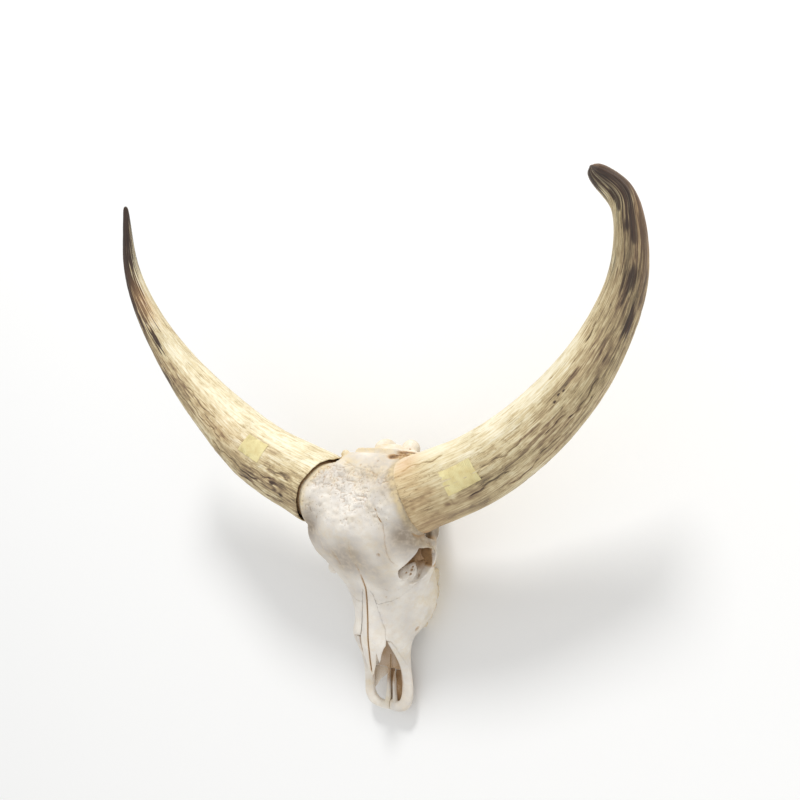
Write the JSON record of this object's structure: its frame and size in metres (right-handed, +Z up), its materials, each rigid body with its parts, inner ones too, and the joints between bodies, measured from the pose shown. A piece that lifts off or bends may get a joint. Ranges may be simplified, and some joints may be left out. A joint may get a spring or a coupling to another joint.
{
  "type": "cow skull",
  "caption": "Bleached skull of a long-horned cow without its lower jaw, lying face up, with wide lyre-shaped horn sheaths and blank paper slips.",
  "frame": {"origin": "on the surface that the skull rests on, under the middle of its bounding box", "axes": "+Z up from the resting surface, -Y towards the nose, +X towards the animal's left horn"},
  "size_m": [1.0355, 0.9089, 0.4349],
  "materials": {
    "bone": "dry, sun-bleached bone, matt with faint grey and yellow stains",
    "horn": "weathered horn sheath, cream to brown, lengthwise grain, satin",
    "paper_slip": "thin pale yellow masking tape, matt, blank"
  },
  "bodies": {
    "root": {"cranium": "bone", "upper_jaw_left": "bone", "upper_jaw_right": "bone", "nasal_left": "bone", "nasal_right": "bone", "premaxilla_left": "bone", "premaxilla_right": "bone", "horn_left": "horn", "horn_right": "horn", "label_left": "paper_slip", "label_right": "paper_slip"}
  },
  "joints": []
}
